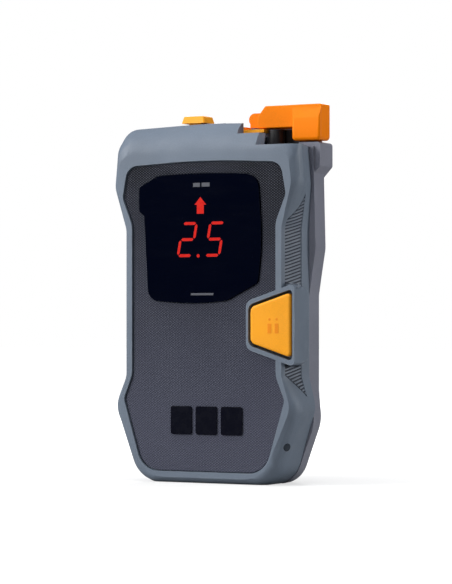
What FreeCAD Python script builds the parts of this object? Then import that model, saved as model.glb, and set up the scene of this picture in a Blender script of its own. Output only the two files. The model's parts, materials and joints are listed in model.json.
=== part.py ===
"""Pocket avalanche transceiver: a two-shell case with a hinged mode lever, a lock slider,
an option button and a battery door.  Millimetres, +X right, -Y front, +Z up, Z = 0 under the case."""
import FreeCAD, Part
import math
import os

V = FreeCAD.Vector

# ---- driving dimensions -------------------------------------------------------------
CASE_TOP = 117.3            # crown of the top edge
Y_RIM = -13.3               # front rim of the bezel
Y_SEAM = 1.3                # parting plane between the two shells
Y_BACK = 13.3               # outer face of the back
BACK_WALL = 2.0
Y_RECESS = -11.7            # floor of the recess that holds the face panel
Y_FRONT_WALL = -9.9         # inner face of the front wall
Y_BACK_WALL = Y_BACK - BACK_WALL
PANEL_FRONT = -12.8
LENS_FRONT = -13.2
GAP = 0.3                   # clearance round moving pieces
PANEL_GAP = 0.3             # shadow line round the panel

NOTCH_LEFT = 11.8           # left wall of the lever notch
NOTCH_STEP = 20.0           # where the notch steps down
STEP_HIGH = 112.9
STEP_LOW = 108.9
CHANNEL_FRONT = -7.2        # the notched front wall ends here
CHANNEL_BACK = 8.7
CHANNEL_LEFT = 3.0

PIVOT_X = 9.6               # mode lever hinge
PIVOT_Z = 118.4
HUB_R = 2.1
PIN_R = 1.0
RUNNING = 0.05              # radial clearance of the pin in the hub
LEVER_Y = (2.3, 8.2)
BLOCK_Y0 = 1.4
LEVER_TOP = 122.6
ARM_BOTTOM = 115.4
BLOCK_BOTTOM = 110.9
BLOCK_X = (24.6, 35.1)
BLOCK_LEAN_Z = 118.2        # above this the block's front leans back to the arm's

LOCK_TRAVEL = 2.2
TONGUE_Z = (114.0, 115.05)
KNOB_X = (-14.2, -5.4)
KNOB_Y = (-3.0, 4.2)
KNOB_Z = (117.6, 119.9)
KNOB_ROUND = 0.5
CARRIAGE_TOP = 115.5
SPRING_Z = 114.3

BUTTON_FRONT = -14.1
BUTTON_BACK = -9.6
BUTTON_X = 24.5             # plunger centre
BUTTON_Z = 51.3
BUTTON_RIGHT = 32.6         # the cap fans out from here to the left
FRAME_RIGHT = 33.8
FRAME_SLOPE = 0.32          # rise of the frame's edges from left to right
WELL_FLOOR = -8.4
GRIP_FRONT = -12.0          # beds of the grip ribs
GRIP_BACK = -3.4
GRIP_DEPTH = 0.5
UNDERCUT = -0.4             # the lofts run this far under Z = 0 and are cut flat there

CELL_R = 5.15
CELL_LEN = 44.5
CELL_PITCH = 11.3
CELL_Y = 5.9
CELL_Z0 = 15.0
TRAY_X = 18.2
TRAY_Z = (12.1, 62.7)
TRAY_Y = (-0.6, 11.0)
DOOR_X = 18.7
DOOR_Z = (5.5, 64.0)
SCREW_Z = 8.8
THUMB_Z = (51.0, 60.6)      # ribbed thumb recess near the top of the door
THUMB_X = 8.0
GRIP_GROOVES = 5            # grooves across the upper back
GROOVE_X = 15.0
GROOVE_Z = 93.6
GROOVE_PITCH = 2.1
BOARD_Y = (-3.2, -1.6)
SCREW_POSTS = ((-23.2, 101.5), (23.2, 101.5), (-23.0, 13.0), (23.0, 13.0))


# ---- helpers ------------------------------------------------------------------------
def rounded_wire(corners, y):
    """Closed wire in the plane Y = y through (x, z, radius) corners."""
    count = len(corners)
    entries, mids, exits = [], [], []
    for i in range(count):
        x, z, r = corners[i]
        here = V(x, y, z)
        before = V(corners[i - 1][0], y, corners[i - 1][1]) - here
        after = V(corners[(i + 1) % count][0], y, corners[(i + 1) % count][1]) - here
        before.normalize()
        after.normalize()
        half = before.getAngle(after) / 2.0
        back = r / math.tan(half)
        bisector = before + after
        bisector.normalize()
        centre = here + bisector * (r / math.sin(half))
        entries.append(here + before * back)
        mids.append(centre - bisector * r)
        exits.append(here + after * back)
    edges = []
    for i in range(count):
        edges.append(Part.Arc(entries[i], mids[i], exits[i]).toShape())
        edges.append(Part.makeLine(exits[i], entries[(i + 1) % count]))
    return Part.Wire(edges)


def prism(corners, y0, y1):
    return Part.Face(rounded_wire(corners, y0)).extrude(V(0, y1 - y0, 0))


def mirrored(right_half, crown=None):
    """Right-hand corners from top to bottom, closed by their mirror image and by a crown corner."""
    left_half = [(-x, z, r) for x, z, r in reversed(right_half)]
    return right_half + left_half + ([crown] if crown else [])


def side_prism(points, x0, x1):
    """Solid between two X planes through (y, z) corners."""
    corners = [V(x0, y, z) for y, z in points]
    return Part.Face(Part.makePolygon(corners + corners[:1])).extrude(V(x1 - x0, 0, 0))


def box(x0, x1, y0, y1, z0, z1):
    return Part.makeBox(x1 - x0, y1 - y0, z1 - z0, V(x0, y0, z0))


def disc(x, z, r, y0, y1):
    return Part.makeCylinder(r, y1 - y0, V(x, y0, z), V(0, 1, 0))


def ring(x, z, r_out, r_in, y0, y1):
    return disc(x, z, r_out, y0, y1).cut(disc(x, z, r_in, y0, y1))


def rect(x0, x1, z0, z1, r):
    return [(x0, z0, r), (x1, z0, r), (x1, z1, r), (x0, z1, r)]


def round_rim(shape, y, radius):
    """Fillet every edge that lies in the plane Y = y."""
    rim = [e for e in shape.Edges if abs(e.BoundBox.YMin - y) < 0.01 and abs(e.BoundBox.YMax - y) < 0.01]
    return shape.makeFillet(radius, rim)


def fuse(shapes):
    body = shapes[0]
    for other in shapes[1:]:
        body = body.fuse(other)
    return body.removeSplitter()


def save(name, shape):
    shape.exportStep("parts/" + name + ".step")


# ---- outlines -----------------------------------------------------------------------
def front_outline(shoulder, waist, hip, heel, top, bottom, corner):
    """Hour-glass outline of the front shell at one depth."""
    return mirrored([
        (shoulder - 1.4, top - 1.2, corner),
        (shoulder, 96.5, 8.0),
        (waist, 82.5, 8.0),
        (waist, 34.5, 8.0),
        (hip, 24.8, 8.0),
        (heel, bottom, 10.5),
    ], (0.0, top, 300.0))


def back_outline(shoulder, waist, hip, heel, top, bottom):
    """Outline of the back shell, which stays wide down to the upper middle."""
    return mirrored([
        (shoulder - 1.0, top - 1.2, 7.0),
        (shoulder, 76.0, 12.0),
        (waist, 61.0, 12.0),
        (waist, 30.0, 8.0),
        (hip, 20.0, 12.0),
        (heel, bottom, 9.5),
    ], (0.0, top, 300.0))


def panel_outline(gap):
    return mirrored([
        (28.4 + gap, 103.0 + gap, 4.5),
        (30.3 + gap, 93.0, 3.5),
        (26.6 + gap, 84.0, 8.0),
        (26.6 + gap, 35.0, 8.0),
        (29.8 + gap, 27.2, 3.5),
        (22.6 + gap, 4.0 - gap, 8.0),
    ], (0.0, 104.5 + gap, 300.0))


def lens_outline(gap):
    return [
        (0.0, 100.7 + gap, 250.0), (20.4 + gap, 99.4 + gap, 5.0), (22.0 + gap, 78.0, 85.0),
        (20.4 + gap, 64.8 - gap, 2.5), (9.0, 59.2 - gap, 6.0), (-2.0, 58.0 - gap, 100.0),
        (-20.6 - gap, 59.4 - gap, 4.0), (-22.2 - gap, 87.0, 0.8), (-24.2 - gap, 88.6, 1.0),
        (-24.2 - gap, 96.4 + gap, 1.6), (-17.0 - gap, 99.9 + gap, 4.0),
    ]


def fan_outline(left, right, z_low, z_high, r_left, r_right):
    """Four-sided shape that grows from its left edge to its right edge."""
    rise = FRAME_SLOPE * (right - left)
    return [(left, z_high, r_left), (right, z_high + rise, r_right),
            (right, z_low - rise, r_right), (left, z_low, r_left)]


def button_outline(gap):
    tall = gap * 0.8
    return fan_outline(17.9 - gap, BUTTON_RIGHT + gap * 0.5, 45.6 - tall, 57.0 + tall, 2.2 + tall * 0.5, 1.2)


def frame_outline(right):
    return fan_outline(16.2, right, 43.6, 58.9, 3.0, 1.4)


CAVITY = mirrored([(27.0, 107.0, 3.0), (27.0, 15.5, 6.0), (22.2, 2.4, 3.0)])


# ---- case ---------------------------------------------------------------------------
def loft(sections):
    """Solid through (y, corners) sections, ruled from each to the next."""
    return Part.makeLoft([rounded_wire(corners, y) for y, corners in sections], True, True)


def flat_bottom(body):
    return body.cut(box(-60.0, 60.0, -30.0, 30.0, -10.0, 0.0))


def front_body(inset=0.0):
    """Front half of the case, with its flanks drawn in by inset."""
    sections = [
        (Y_RIM, 32.6, 29.0, 32.3, 21.6, 108.0, 1.8, 5.0),
        (-12.4, 33.9, 29.5, 33.7, 23.6, 111.6, 0.8, 6.0),
        (-10.8, 34.8, 30.0, 34.5, 25.3, 114.6, 0.2, 7.0),
        (-8.4, 35.0, 30.3, 34.7, 26.0, 116.8, UNDERCUT, 7.0),
        (-3.7, 33.0, 31.0, 34.2, 26.0, CASE_TOP, UNDERCUT, 7.0),
        (Y_SEAM, 32.0, 31.3, 33.8, 25.8, CASE_TOP, UNDERCUT, 7.0),
    ]
    outlines = []
    for y, shoulder, waist, hip, heel, top, bottom, corner in sections:
        outline = front_outline(shoulder - inset, waist - inset, hip - inset, heel, top, bottom, corner)
        outlines.append((y, outline))
    return flat_bottom(loft(outlines))


def grip_recesses():
    """Shallow beds for the grip ribs, above and below the button frame on both flanks."""
    upper = [(GRIP_FRONT, 60.0), (GRIP_FRONT, 85.0), (GRIP_BACK, 93.4), (GRIP_BACK, 60.0)]
    lower = [(GRIP_FRONT, 42.0), (GRIP_FRONT, 35.2), (GRIP_BACK, 28.2), (GRIP_BACK, 42.0)]
    beds = side_prism(upper, -60.0, 60.0).fuse(side_prism(lower, -60.0, 60.0))
    return beds.cut(front_body(GRIP_DEPTH))


def back_body():
    return flat_bottom(loft([
        (Y_SEAM, back_outline(33.6, 31.3, 33.4, 25.6, CASE_TOP, UNDERCUT)),
        (9.0, back_outline(33.2, 30.7, 31.7, 24.0, 116.4, UNDERCUT)),
        (11.8, back_outline(31.6, 29.3, 30.3, 22.6, 115.2, 0.8)),
        (Y_BACK, back_outline(28.6, 26.6, 27.6, 20.0, 113.0, 2.6)),
    ]))


def lever_notch():
    """Stepped cut in the top right corner, with a channel behind its front wall."""
    far = 45.0
    high = box(NOTCH_LEFT, far, -20.0, CHANNEL_BACK, STEP_HIGH, 130.0)
    wedge = [(NOTCH_STEP + 0.6, STEP_HIGH + 5.0, 0.1), (far, STEP_HIGH + 5.0, 0.1),
             (far, STEP_LOW, 0.1), (NOTCH_STEP - 0.6, STEP_LOW, 0.1)]
    low = prism(wedge, -20.0, CHANNEL_BACK)
    channel = box(NOTCH_LEFT, far, CHANNEL_FRONT, CHANNEL_BACK, STEP_LOW, 130.0)
    hub_room = box(CHANNEL_LEFT, NOTCH_LEFT + 1.0, CHANNEL_FRONT, CHANNEL_BACK, STEP_HIGH, 130.0)
    return fuse([high, low, channel, hub_room])


def lock_pocket():
    """Room for the lock slider and its full travel inside the top of the case."""
    floor, roof = TONGUE_Z[0] - GAP, CARRIAGE_TOP + 0.4
    carriage = box(-16.2, -4.0, -2.4, 7.0, floor, roof)
    run = box(-16.2, CHANNEL_LEFT + 1.0, 1.2, 7.0, floor, roof)
    spring_bore = Part.makeCylinder(1.2, 8.0, V(-24.0, 4.0, SPRING_Z), V(1, 0, 0))
    stem_slot = box(-14.6, -7.2, -1.6, 2.8, floor + 1.0, 120.0)
    return fuse([carriage, run, spring_bore, stem_slot])


def shoulder_boss():
    """Pillar at the rear right shoulder that the lever's block rests on."""
    profile = [
        (27.0, 110.3, 0.3), (34.9, 110.3, 1.2), (34.9, 102.5, 1.0),
        (31.6, 99.0, 0.8), (27.0, 99.0, 0.3),
    ]
    return prism(profile, 2.0, 10.6)


def screw_post(x, z, y0, y1):
    return disc(x, z, 2.7, y0, y1)


def button_frame():
    """Raised surround of the option button, wrapped round the right flank."""
    return loft([(-13.5, frame_outline(FRAME_RIGHT)), (-8.0, frame_outline(FRAME_RIGHT - 0.1)),
                 (0.3, frame_outline(FRAME_RIGHT - 2.4))])


def front_shell():
    frame = button_frame()
    body = front_body().cut(prism(panel_outline(PANEL_GAP), -20.0, Y_RECESS))
    body = body.cut(prism(CAVITY, Y_FRONT_WALL, Y_SEAM)).cut(grip_recesses())
    body = body.fuse(frame.common(box(0, 40, -20, -7.2, 30, 70)))
    body = body.fuse(frame.common(box(28.5, 40, -20, 0.3, 30, 70)))
    posts = [screw_post(x, z, Y_FRONT_WALL - 0.1, Y_SEAM) for x, z in SCREW_POSTS]
    body = fuse([body] + posts)
    for x, z in SCREW_POSTS:
        body = body.cut(disc(x, z, 1.0, -6.0, Y_SEAM))
    body = body.cut(prism(button_outline(0.9), -20.0, WELL_FLOOR))
    body = body.cut(disc(BUTTON_X, BUTTON_Z, 2.4, -10.0, -7.0))
    body = body.cut(prism(rect(-17.6, 16.8, 62.6, 97.4, 2.0), -12.0, -9.0))
    body = body.cut(lever_notch()).cut(lock_pocket())
    return body.cut(status_light_core()).removeSplitter()


def back_shell():
    body = back_body().fuse(shoulder_boss())
    ear = prism([(PIVOT_X - HUB_R, 110.0, 0.2), (PIVOT_X - HUB_R, PIVOT_Z + HUB_R, 2.0),
                 (PIVOT_X + HUB_R, PIVOT_Z + HUB_R, 2.0), (PIVOT_X + HUB_R, 110.0, 0.2)], 8.7, 11.2)
    body = body.cut(lever_notch().cut(shoulder_boss())).cut(lock_pocket()).fuse(ear)
    body = body.cut(prism(CAVITY, Y_SEAM, Y_BACK_WALL))
    posts = [screw_post(x, z, Y_SEAM, Y_BACK_WALL + 0.1) for x, z in SCREW_POSTS]
    ledge = box(-12.0, 12.0, 7.0, 11.2, 2.0, 11.9)
    body = fuse([body, ledge] + posts)
    doorway = rect(-DOOR_X - GAP, DOOR_X + GAP, DOOR_Z[0] - GAP, DOOR_Z[1] + GAP, 2.0)
    body = body.cut(prism(doorway, 11.2, 20.0))
    for x, z in SCREW_POSTS:
        body = body.cut(disc(x, z, 1.35, 0.0, 20.0)).cut(disc(x, z, 2.1, 10.2, 20.0))
    body = body.cut(disc(0.0, SCREW_Z, 2.6, 7.0, 11.2))
    for i in range(GRIP_GROOVES):
        z = GROOVE_Z + GROOVE_PITCH * i
        body = body.cut(prism(rect(-GROOVE_X, GROOVE_X, z, z + 0.9, 0.4), Y_BACK - 0.5, 20.0))
    body = body.cut(prism(label_outline(0.15), Y_BACK - 0.3, 20.0))
    return body.cut(disc(PIVOT_X, PIVOT_Z, PIN_R, 8.0, 11.2)).removeSplitter()


def label_outline(gap):
    return rect(-17.0 - gap, 17.0 + gap, 69.0 - gap, 86.0 + gap, 1.5)


def back_label():
    """Blank rating plate, set a little below the back face."""
    return prism(label_outline(0.0), Y_BACK - 0.3, Y_BACK - 0.08)


def case_gasket():
    """Seal in the parting plane; it lies in a groove of its own thickness."""
    outer = mirrored([(29.2, 106.6, 4.0), (29.2, 18.0, 6.0), (24.6, 1.4, 4.0)])
    inner = mirrored([(28.2, 105.6, 3.2), (28.2, 18.4, 5.0), (23.9, 2.4, 3.0)])
    return prism(outer, Y_SEAM - 0.5, Y_SEAM + 0.5).cut(prism(inner, Y_SEAM - 0.5, Y_SEAM + 0.5))


# ---- face ---------------------------------------------------------------------------
def face_panel():
    body = prism(panel_outline(0.0), PANEL_FRONT, Y_RECESS)
    body = body.cut(prism(lens_outline(0.1), -20.0, Y_RECESS))
    frame = [(16.0, 59.1, 3.0), (40.0, 66.4, 1.0), (40.0, 36.0, 1.0), (16.0, 43.4, 3.0)]
    return body.cut(prism(frame, -20.0, Y_RECESS))


def segment(cx, cz, length, upright):
    """One bar of a digit with pointed ends, leaning with the digit."""
    half, end = 0.47, length / 2.0
    points = [(-end, 0.0), (-end + half, half), (end - half, half),
              (end, 0.0), (end - half, -half), (-end + half, -half)]
    lean = math.tan(DIGIT_LEAN)
    ring_points = []
    for along, across in points:
        x, z = (across, along) if upright else (along, across)
        ring_points.append(V(cx + x + lean * (cz + z - DIGIT_Z), LENS_FRONT, cz + z))
    ring_points.append(ring_points[0])
    return Part.Face(Part.makePolygon(ring_points)).extrude(V(0, 1.3, 0))


DIGIT_Z = 79.0              # middle bar of both digits
DIGIT_LEAN = math.radians(10.5)
DIGIT_W = 5.1
DIGIT_H = 5.2               # height of half a digit
DIGIT_LIT = {-5.8: "abged", 4.5: "afgcd"}


def digit_segments():
    bars = []
    for cx, lit in DIGIT_LIT.items():
        places = {
            "a": (cx, DIGIT_Z + DIGIT_H, DIGIT_W, False), "g": (cx, DIGIT_Z, DIGIT_W, False),
            "d": (cx, DIGIT_Z - DIGIT_H, DIGIT_W, False),
            "f": (cx - DIGIT_W / 2, DIGIT_Z + DIGIT_H / 2, DIGIT_H, True),
            "b": (cx + DIGIT_W / 2, DIGIT_Z + DIGIT_H / 2, DIGIT_H, True),
            "e": (cx - DIGIT_W / 2, DIGIT_Z - DIGIT_H / 2, DIGIT_H, True),
            "c": (cx + DIGIT_W / 2, DIGIT_Z - DIGIT_H / 2, DIGIT_H, True),
        }
        for letter in lit:
            x, z, length, upright = places[letter]
            bars.append(segment(x, z, length - 0.5, upright))
    bars.append(disc(-1.7, DIGIT_Z - DIGIT_H - 0.1, 0.55, LENS_FRONT, LENS_FRONT + 1.3))
    return Part.makeCompound(bars)


def direction_arrow():
    x, top, neck, foot = -0.9, 92.7, 90.2, 87.3
    points = [(x, top), (x + 2.2, neck), (x + 1.3, neck), (x + 1.3, foot),
              (x - 1.3, foot), (x - 1.3, neck), (x - 2.2, neck), (x, top)]
    face = Part.Face(Part.makePolygon([V(px, LENS_FRONT, pz) for px, pz in points]))
    return face.extrude(V(0, 1.3, 0))


def display_lens():
    body = prism(lens_outline(0.0), LENS_FRONT, LENS_FRONT + 1.3)
    return body.cut(digit_segments()).cut(direction_arrow())


def lens_adhesive():
    edge = prism(lens_outline(0.0), LENS_FRONT + 1.3, Y_RECESS)
    return edge.cut(prism(rect(-17.6, 16.8, 62.6, 97.4, 2.0), -20.0, 0.0))


BADGE_X = -12.2             # left end of the badge
BADGE_BLOCK = 8.0
BADGE_SPACE = 1.4
BADGE_Z = (15.8, 25.0)


def face_badge():
    """Three plain raised blocks on the lower panel."""
    blocks = []
    for i in range(3):
        x = BADGE_X + (BADGE_BLOCK + BADGE_SPACE) * i
        block = rect(x, x + BADGE_BLOCK, BADGE_Z[0], BADGE_Z[1], 0.8)
        blocks.append(prism(block, PANEL_FRONT - 0.3, PANEL_FRONT))
    return Part.makeCompound(blocks)


LIGHT_AT = V(29.9, -10.9, 12.3)
LIGHT_TURN = math.radians(45.0)
LIGHT_OUT = V(math.sin(LIGHT_TURN), -math.cos(LIGHT_TURN), 0.0)


def status_light_core():
    """Round indicator window that runs into the lower right corner of the bezel."""
    return Part.makeCylinder(1.3, 3.2, LIGHT_AT - LIGHT_OUT * 1.4, LIGHT_OUT)


def status_light():
    return status_light_core().common(front_body())


# ---- mode lever ---------------------------------------------------------------------
def mode_lever():
    profile = [
        (11.6, ARM_BOTTOM, 0.5), (11.6, 119.2, 0.5), (14.4, LEVER_TOP, 0.8),
        (BLOCK_X[1], LEVER_TOP, 0.6), (BLOCK_X[1], ARM_BOTTOM, 0.4),
    ]
    arm = prism(profile, LEVER_Y[0], LEVER_Y[1])
    arm = round_rim(arm, LEVER_Y[0], 0.35)
    block = prism(rect(BLOCK_X[0], BLOCK_X[1], BLOCK_BOTTOM, LEVER_TOP, 1.3), BLOCK_Y0, LEVER_Y[1])
    flush = LEVER_Y[0] + 0.1
    block = round_rim(block, BLOCK_Y0, 1.1).cut(side_prism(
        [(BLOCK_Y0 - 1.0, BLOCK_LEAN_Z), (BLOCK_Y0, BLOCK_LEAN_Z), (flush, LEVER_TOP - 0.6),
         (flush, LEVER_TOP + 1.0), (BLOCK_Y0 - 1.0, LEVER_TOP + 1.0)], 0.0, 50.0))
    hub = disc(PIVOT_X, PIVOT_Z, HUB_R, 4.0, LEVER_Y[1])
    tab = box(PIVOT_X - 1.6, PIVOT_X + HUB_R, 4.0, LEVER_Y[1], PIVOT_Z - 2.6, PIVOT_Z)
    neck = box(PIVOT_X, 13.0, 4.0, LEVER_Y[1], PIVOT_Z - HUB_R, PIVOT_Z + HUB_R)
    body = fuse([arm, block, hub, tab, neck])
    body = body.cut(disc(PIVOT_X, PIVOT_Z, PIN_R + RUNNING, 5.0, 9.0))
    return body.cut(magnet_pocket())


def magnet_pocket():
    return disc(20.0, 118.6, 1.6, 4.4, 7.4)


def lever_magnet():
    return magnet_pocket()


def lever_pin():
    return disc(PIVOT_X, PIVOT_Z, PIN_R, 5.1, 11.1)


def friction_washer():
    return ring(PIVOT_X, PIVOT_Z, 1.9, PIN_R, 8.3, 8.7)


def switch_base():
    """Black moulding under the lever's arm: a round post on a foot, backed by a low wall."""
    foot = box(14.6, 24.4, 2.6, 8.6, STEP_LOW, STEP_LOW + 0.6)
    post = Part.makeCylinder(2.6, 114.9 - STEP_LOW, V(17.2, 5.2, STEP_LOW), V(0, 0, 1))
    wall = box(14.6, 24.4, 7.6, 8.6, STEP_LOW, 114.9)
    return fuse([foot, post, wall])


# ---- lock slider --------------------------------------------------------------------
def level_outline(xs, ys, z, inset):
    """Level four-sided wire at height z, drawn in from the given spans."""
    x0, x1 = xs[0] + inset, xs[1] - inset
    y0, y1 = ys[0] + inset, ys[1] - inset
    return Part.Wire(Part.makePolygon([V(x0, y0, z), V(x1, y0, z), V(x1, y1, z), V(x0, y1, z), V(x0, y0, z)]))


def lock_slider():
    base = level_outline(KNOB_X, KNOB_Y, KNOB_Z[0], 0.0)
    crown = level_outline(KNOB_X, KNOB_Y, KNOB_Z[1], 0.6)
    knob = Part.makeLoft([base, crown], True, True)
    knob = knob.makeFillet(KNOB_ROUND, [e for e in knob.Edges if e.BoundBox.ZMax > KNOB_Z[0] + 0.1])
    stem = box(-12.1, -7.5, -1.3, 2.5, CARRIAGE_TOP - 0.5, KNOB_Z[0] + 0.1)
    carriage = box(-13.7, -4.4, -2.0, 6.6, TONGUE_Z[0], CARRIAGE_TOP)
    bar = box(-13.7, 7.0, 1.6, 6.6, TONGUE_Z[0], CARRIAGE_TOP)
    tip = box(CHANNEL_LEFT + LOCK_TRAVEL + GAP, 7.0, 1.6, 6.6, TONGUE_Z[0], 116.0)
    tongue = box(6.0, 14.4, 1.6, 6.6, TONGUE_Z[0], TONGUE_Z[1])
    return fuse([knob, stem, carriage, bar, tip, tongue])


def lock_spring():
    """Coil in the bore left of the slider's carriage."""
    turns, wire, radius = 5, 0.22, 0.85
    coils = []
    for i in range(turns):
        x = -22.9 + 1.45 * i
        coils.append(Part.makeTorus(radius, wire, V(x, 4.0, SPRING_Z), V(1, 0, 0)))
    return Part.makeCompound(coils)


# ---- option button ------------------------------------------------------------------
def option_button():
    cap = prism(button_outline(0.0), BUTTON_FRONT, BUTTON_BACK)
    cap = round_rim(cap, BUTTON_FRONT, 0.8)
    return cap.fuse(disc(BUTTON_X, BUTTON_Z, 2.0, BUTTON_BACK, -8.3)).removeSplitter()


def button_boot():
    return disc(BUTTON_X - 1.0, BUTTON_Z, 3.4, -7.2, -6.6)


def option_switch():
    housing = box(21.5, 27.0, -5.2, BOARD_Y[0], 48.3, 54.3)
    return housing.fuse(disc(24.2, BUTTON_Z, 1.5, -6.5, -5.2)).removeSplitter()


# ---- electronics --------------------------------------------------------------------
def main_board():
    outline = mirrored([(26.4, 105.4, 2.0), (26.4, 16.2, 5.0), (21.8, 4.0, 2.0)])
    board = prism(outline, BOARD_Y[0], BOARD_Y[1])
    for x, z in SCREW_POSTS:
        board = board.cut(disc(x, z, 3.1, -5.0, 0.0))
    return board


def display_module():
    return prism(rect(-17.2, 16.4, 62.9, 97.0, 1.0), -9.7, -6.0)


def display_header():
    """Pin header that carries the display module on the main board."""
    rows = []
    for z in (66.0, 94.0):
        rows.append(box(-12.0, 12.0, -6.0, BOARD_Y[0], z - 1.2, z + 1.2))
    return Part.makeCompound(rows)


def processor_chip():
    return box(-5.0, 5.0, -4.4, BOARD_Y[0], 74.0, 84.0)


def speaker():
    return disc(-2.0, 33.0, 9.5, -9.3, -5.4)


def speaker_gasket():
    return ring(-2.0, 33.0, 10.0, 8.2, Y_FRONT_WALL, -9.3)


def speaker_bracket():
    return ring(-2.0, 33.0, 10.8, 9.6, -9.3, BOARD_Y[0])


def ferrite_rod(axis_start, axis_dir, length):
    return Part.makeCylinder(2.6, length, axis_start, axis_dir)


def coil_sleeve(axis_start, axis_dir, length):
    outer = Part.makeCylinder(3.4, length, axis_start, axis_dir)
    return outer.cut(Part.makeCylinder(2.6, length, axis_start, axis_dir))


def flat_antenna_coil():
    outer = prism(rect(-6.0, 16.0, 69.0, 84.0, 3.0), 2.2, 6.2)
    return outer.cut(prism(rect(-3.6, 13.6, 71.4, 81.6, 1.5), 2.2, 6.2))


def flat_antenna_core():
    return prism(rect(-3.6, 13.6, 71.4, 81.6, 1.5), 2.2, 6.2)


def reed_switch():
    return Part.makeCylinder(1.1, 12.0, V(6.0, -5.2, 103.0), V(1, 0, 0))


# ---- power --------------------------------------------------------------------------
def battery_cell(x):
    can = Part.makeCylinder(CELL_R, CELL_LEN - 0.8, V(x, CELL_Y, CELL_Z0), V(0, 0, 1))
    nub = Part.makeCylinder(1.9, 0.8, V(x, CELL_Y, CELL_Z0 + CELL_LEN - 0.8), V(0, 0, 1))
    return can.fuse(nub)


def battery_tray():
    outer = box(-TRAY_X, TRAY_X, TRAY_Y[0], TRAY_Y[1], TRAY_Z[0], TRAY_Z[1])
    side = TRAY_X - 1.0
    return outer.cut(box(-side, side, TRAY_Y[0] + 1.1, 20.0, TRAY_Z[0] + 1.0, TRAY_Z[1] - 1.0))


def contact_plates():
    plates = []
    for i in (-1, 0, 1):
        x = i * CELL_PITCH
        plates.append(box(x - 4.0, x + 4.0, 2.0, 9.8, 61.2, 61.7))
    return Part.makeCompound(plates)


def contact_springs():
    springs = []
    for i in (-1, 0, 1):
        springs.append(Part.makeCone(3.6, 1.8, 1.9, V(i * CELL_PITCH, CELL_Y, 13.1), V(0, 0, 1)))
    return Part.makeCompound(springs)


def cell_links():
    """Metal straps that press the positive caps against the contact plates."""
    links = []
    for i in (-1, 0, 1):
        x = i * CELL_PITCH
        links.append(box(x - 2.4, x + 2.4, 4.0, 7.8, CELL_Z0 + CELL_LEN, 61.2))
    return Part.makeCompound(links)


def battery_door():
    body = prism(rect(-DOOR_X, DOOR_X, DOOR_Z[0], DOOR_Z[1], 1.7), 11.5, Y_BACK)
    body = body.cut(prism(rect(-THUMB_X, THUMB_X, THUMB_Z[0], THUMB_Z[1], 2.0), Y_BACK - 0.7, 20.0))
    for i in range(4):
        z = THUMB_Z[0] + 1.3 + 2.0 * i
        body = body.fuse(box(-THUMB_X + 1.4, THUMB_X - 1.4, Y_BACK - 0.8, Y_BACK - 0.15, z, z + 1.0))
    body = body.cut(disc(0.0, SCREW_Z, 3.5, 12.1, 20.0)).cut(disc(0.0, SCREW_Z, 1.7, 10.0, 20.0))
    return body.removeSplitter()


def door_gasket():
    outer = prism(rect(-17.9, 17.9, TRAY_Z[0] + 0.3, TRAY_Z[1] - 0.3, 1.2), 11.1, 11.5)
    return outer.cut(prism(rect(-16.7, 16.7, TRAY_Z[0] + 1.5, TRAY_Z[1] - 1.5, 0.8), 11.1, 11.5))


def door_screw():
    head = disc(0.0, SCREW_Z, 3.2, 12.15, 13.25)
    slot = box(-2.6, 2.6, 12.75, 14.0, SCREW_Z - 0.5, SCREW_Z + 0.5)
    return head.cut(slot).fuse(disc(0.0, SCREW_Z, 1.5, 8.0, 12.15)).removeSplitter()


def door_insert():
    return ring(0.0, SCREW_Z, 2.6, 2.0, 7.4, 11.0)


def case_screws():
    screws = []
    for x, z in SCREW_POSTS:
        head = disc(x, z, 1.9, 10.2, 11.8).cut(box(x - 1.3, x + 1.3, 11.2, 12.0, z - 0.3, z + 0.3))
        screws.append(head.fuse(disc(x, z, 1.0, -5.0, 10.2)).removeSplitter())
    return Part.makeCompound(screws)


def build():
    os.makedirs("parts", exist_ok=True)
    up, right = V(0, 0, 1), V(1, 0, 0)
    gasket = case_gasket()
    shells = {"front_shell": front_shell().cut(gasket), "back_shell": back_shell().cut(gasket)}
    nodes = dict(shells)
    nodes.update({
        "case_gasket": gasket, "face_panel": face_panel(), "face_badge": face_badge(),
        "display_lens": display_lens(), "lens_adhesive": lens_adhesive(),
        "digit_segments": digit_segments(), "direction_arrow": direction_arrow(),
        "status_light": status_light(), "mode_lever": mode_lever(), "lever_magnet": lever_magnet(),
        "lever_pin": lever_pin(), "friction_washer": friction_washer(), "switch_base": switch_base(),
        "lock_slider": lock_slider(), "lock_spring": lock_spring(), "option_button": option_button(),
        "button_boot": button_boot(), "option_switch": option_switch(), "main_board": main_board(),
        "display_module": display_module(), "display_header": display_header(),
        "processor_chip": processor_chip(), "speaker": speaker(), "speaker_gasket": speaker_gasket(),
        "speaker_bracket": speaker_bracket(), "reed_switch": reed_switch(),
        "main_ferrite_rod": ferrite_rod(V(-23.3, 5.6, 20.0), up, 74.0),
        "main_antenna_coil": coil_sleeve(V(-23.3, 5.6, 34.0), up, 46.0),
        "cross_ferrite_rod": ferrite_rod(V(-16.0, 6.4, 93.0), right, 40.0),
        "cross_antenna_coil": coil_sleeve(V(-8.0, 6.4, 93.0), right, 24.0),
        "flat_antenna_coil": flat_antenna_coil(), "flat_antenna_core": flat_antenna_core(),
        "battery_tray": battery_tray(), "contact_plates": contact_plates(),
        "contact_springs": contact_springs(), "cell_links": cell_links(),
        "battery_door": battery_door(), "door_gasket": door_gasket(), "door_screw": door_screw(),
        "door_insert": door_insert(), "case_screws": case_screws(), "back_label": back_label(),
    })
    for i in (-1, 0, 1):
        nodes["battery_cell_" + str(i + 2)] = battery_cell(i * CELL_PITCH)
    for name, shape in nodes.items():
        save(name, shape)
        print(name, shape.isValid(), len(shape.Solids), round(shape.Volume, 2))


build()
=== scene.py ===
import bpy
import json
import math
from mathutils import Matrix, Vector


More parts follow.
